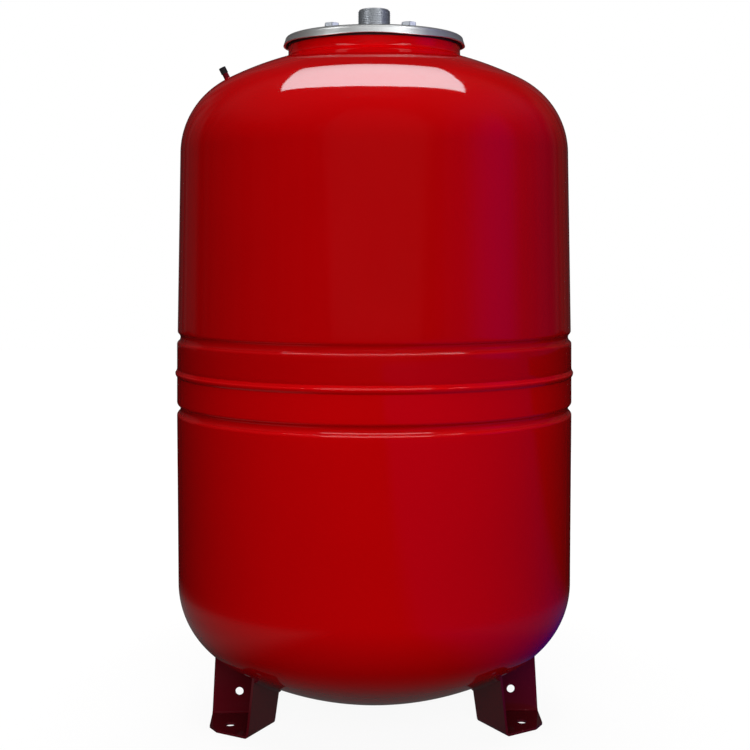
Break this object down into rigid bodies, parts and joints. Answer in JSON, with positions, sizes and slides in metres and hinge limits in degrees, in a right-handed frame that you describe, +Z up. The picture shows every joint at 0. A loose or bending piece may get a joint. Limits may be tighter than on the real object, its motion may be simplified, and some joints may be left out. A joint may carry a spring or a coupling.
{
  "type": "expansion tank",
  "caption": "Upright membrane expansion vessel of red-painted pressed steel on folded feet, with a bolted top flange, threaded water connection and gas filling valve.",
  "frame": {"origin": "on the floor, on the vessel's vertical axis", "axes": "+Z up along the vessel's axis, -Y to the front between the two front feet, +X to the right seen from the front"},
  "size_m": [0.515, 0.515, 0.8978],
  "materials": {
    "red_paint": "glossy red powder coat",
    "zinc_plate": "galvanised, satin, faintly streaked",
    "zinc_bolts": "bright zinc with a bluish cast",
    "nipple_steel": "turned and zinc plated, dull grey",
    "rubber": "matt black rubber",
    "brass": "turned brass",
    "spring_steel": "bright spring wire",
    "black_plastic": "moulded black plastic with fine ribs"
  },
  "bodies": {
    "tank": {"lower_shell": "red_paint", "upper_shell": "red_paint", "belly_weld": "red_paint", "neck_ring": "red_paint", "neck_weld": "red_paint", "membrane": "rubber", "flange_plate": "zinc_plate", "connection_nipple": "nipple_steel", "nipple_weld": "nipple_steel", "flange_bolts": "zinc_bolts", "valve_stem": "red_paint", "valve_stem_weld": "red_paint", "valve_core_body": "brass", "valve_core_gasket": "rubber", "valve_core_spring": "spring_steel", "foot_left": "red_paint", "foot_left_welds": "red_paint", "foot_right": "red_paint", "foot_right_welds": "red_paint", "foot_rear": "red_paint", "foot_rear_welds": "red_paint"},
    "core_pin": {"valve_core_pin": "brass", "valve_core_seal": "rubber"},
    "cap_disc": {"valve_cap_seal": "rubber"},
    "cap": {"valve_cap": "black_plastic"}
  },
  "joints": [
    {"name": "core_pin_press", "type": "slide", "parent": "tank", "child": "core_pin", "axis": [0.4495, 0.0512, -0.8918], "range_m": [0, 0.0012], "stiffness_N_per_m": 2000, "springref_m": -0.002, "deforming": ["valve_core_spring"]},
    {"name": "cap_lift", "type": "slide", "parent": "tank", "child": "cap_disc", "axis": [-0.4495, -0.0512, 0.8918], "range_m": [0, 0.00596]},
    {"name": "cap_turn", "type": "hinge", "parent": "cap_disc", "child": "cap", "pos_m": [-0.19417, -0.02212, 0.81404], "axis": [-0.4495, -0.0512, 0.8918], "range_deg": [0, 2700]}
  ],
  "couplings": [
    {"joint": "cap_turn", "follows": "cap_lift", "rad_per_m": 7913.2}
  ]
}
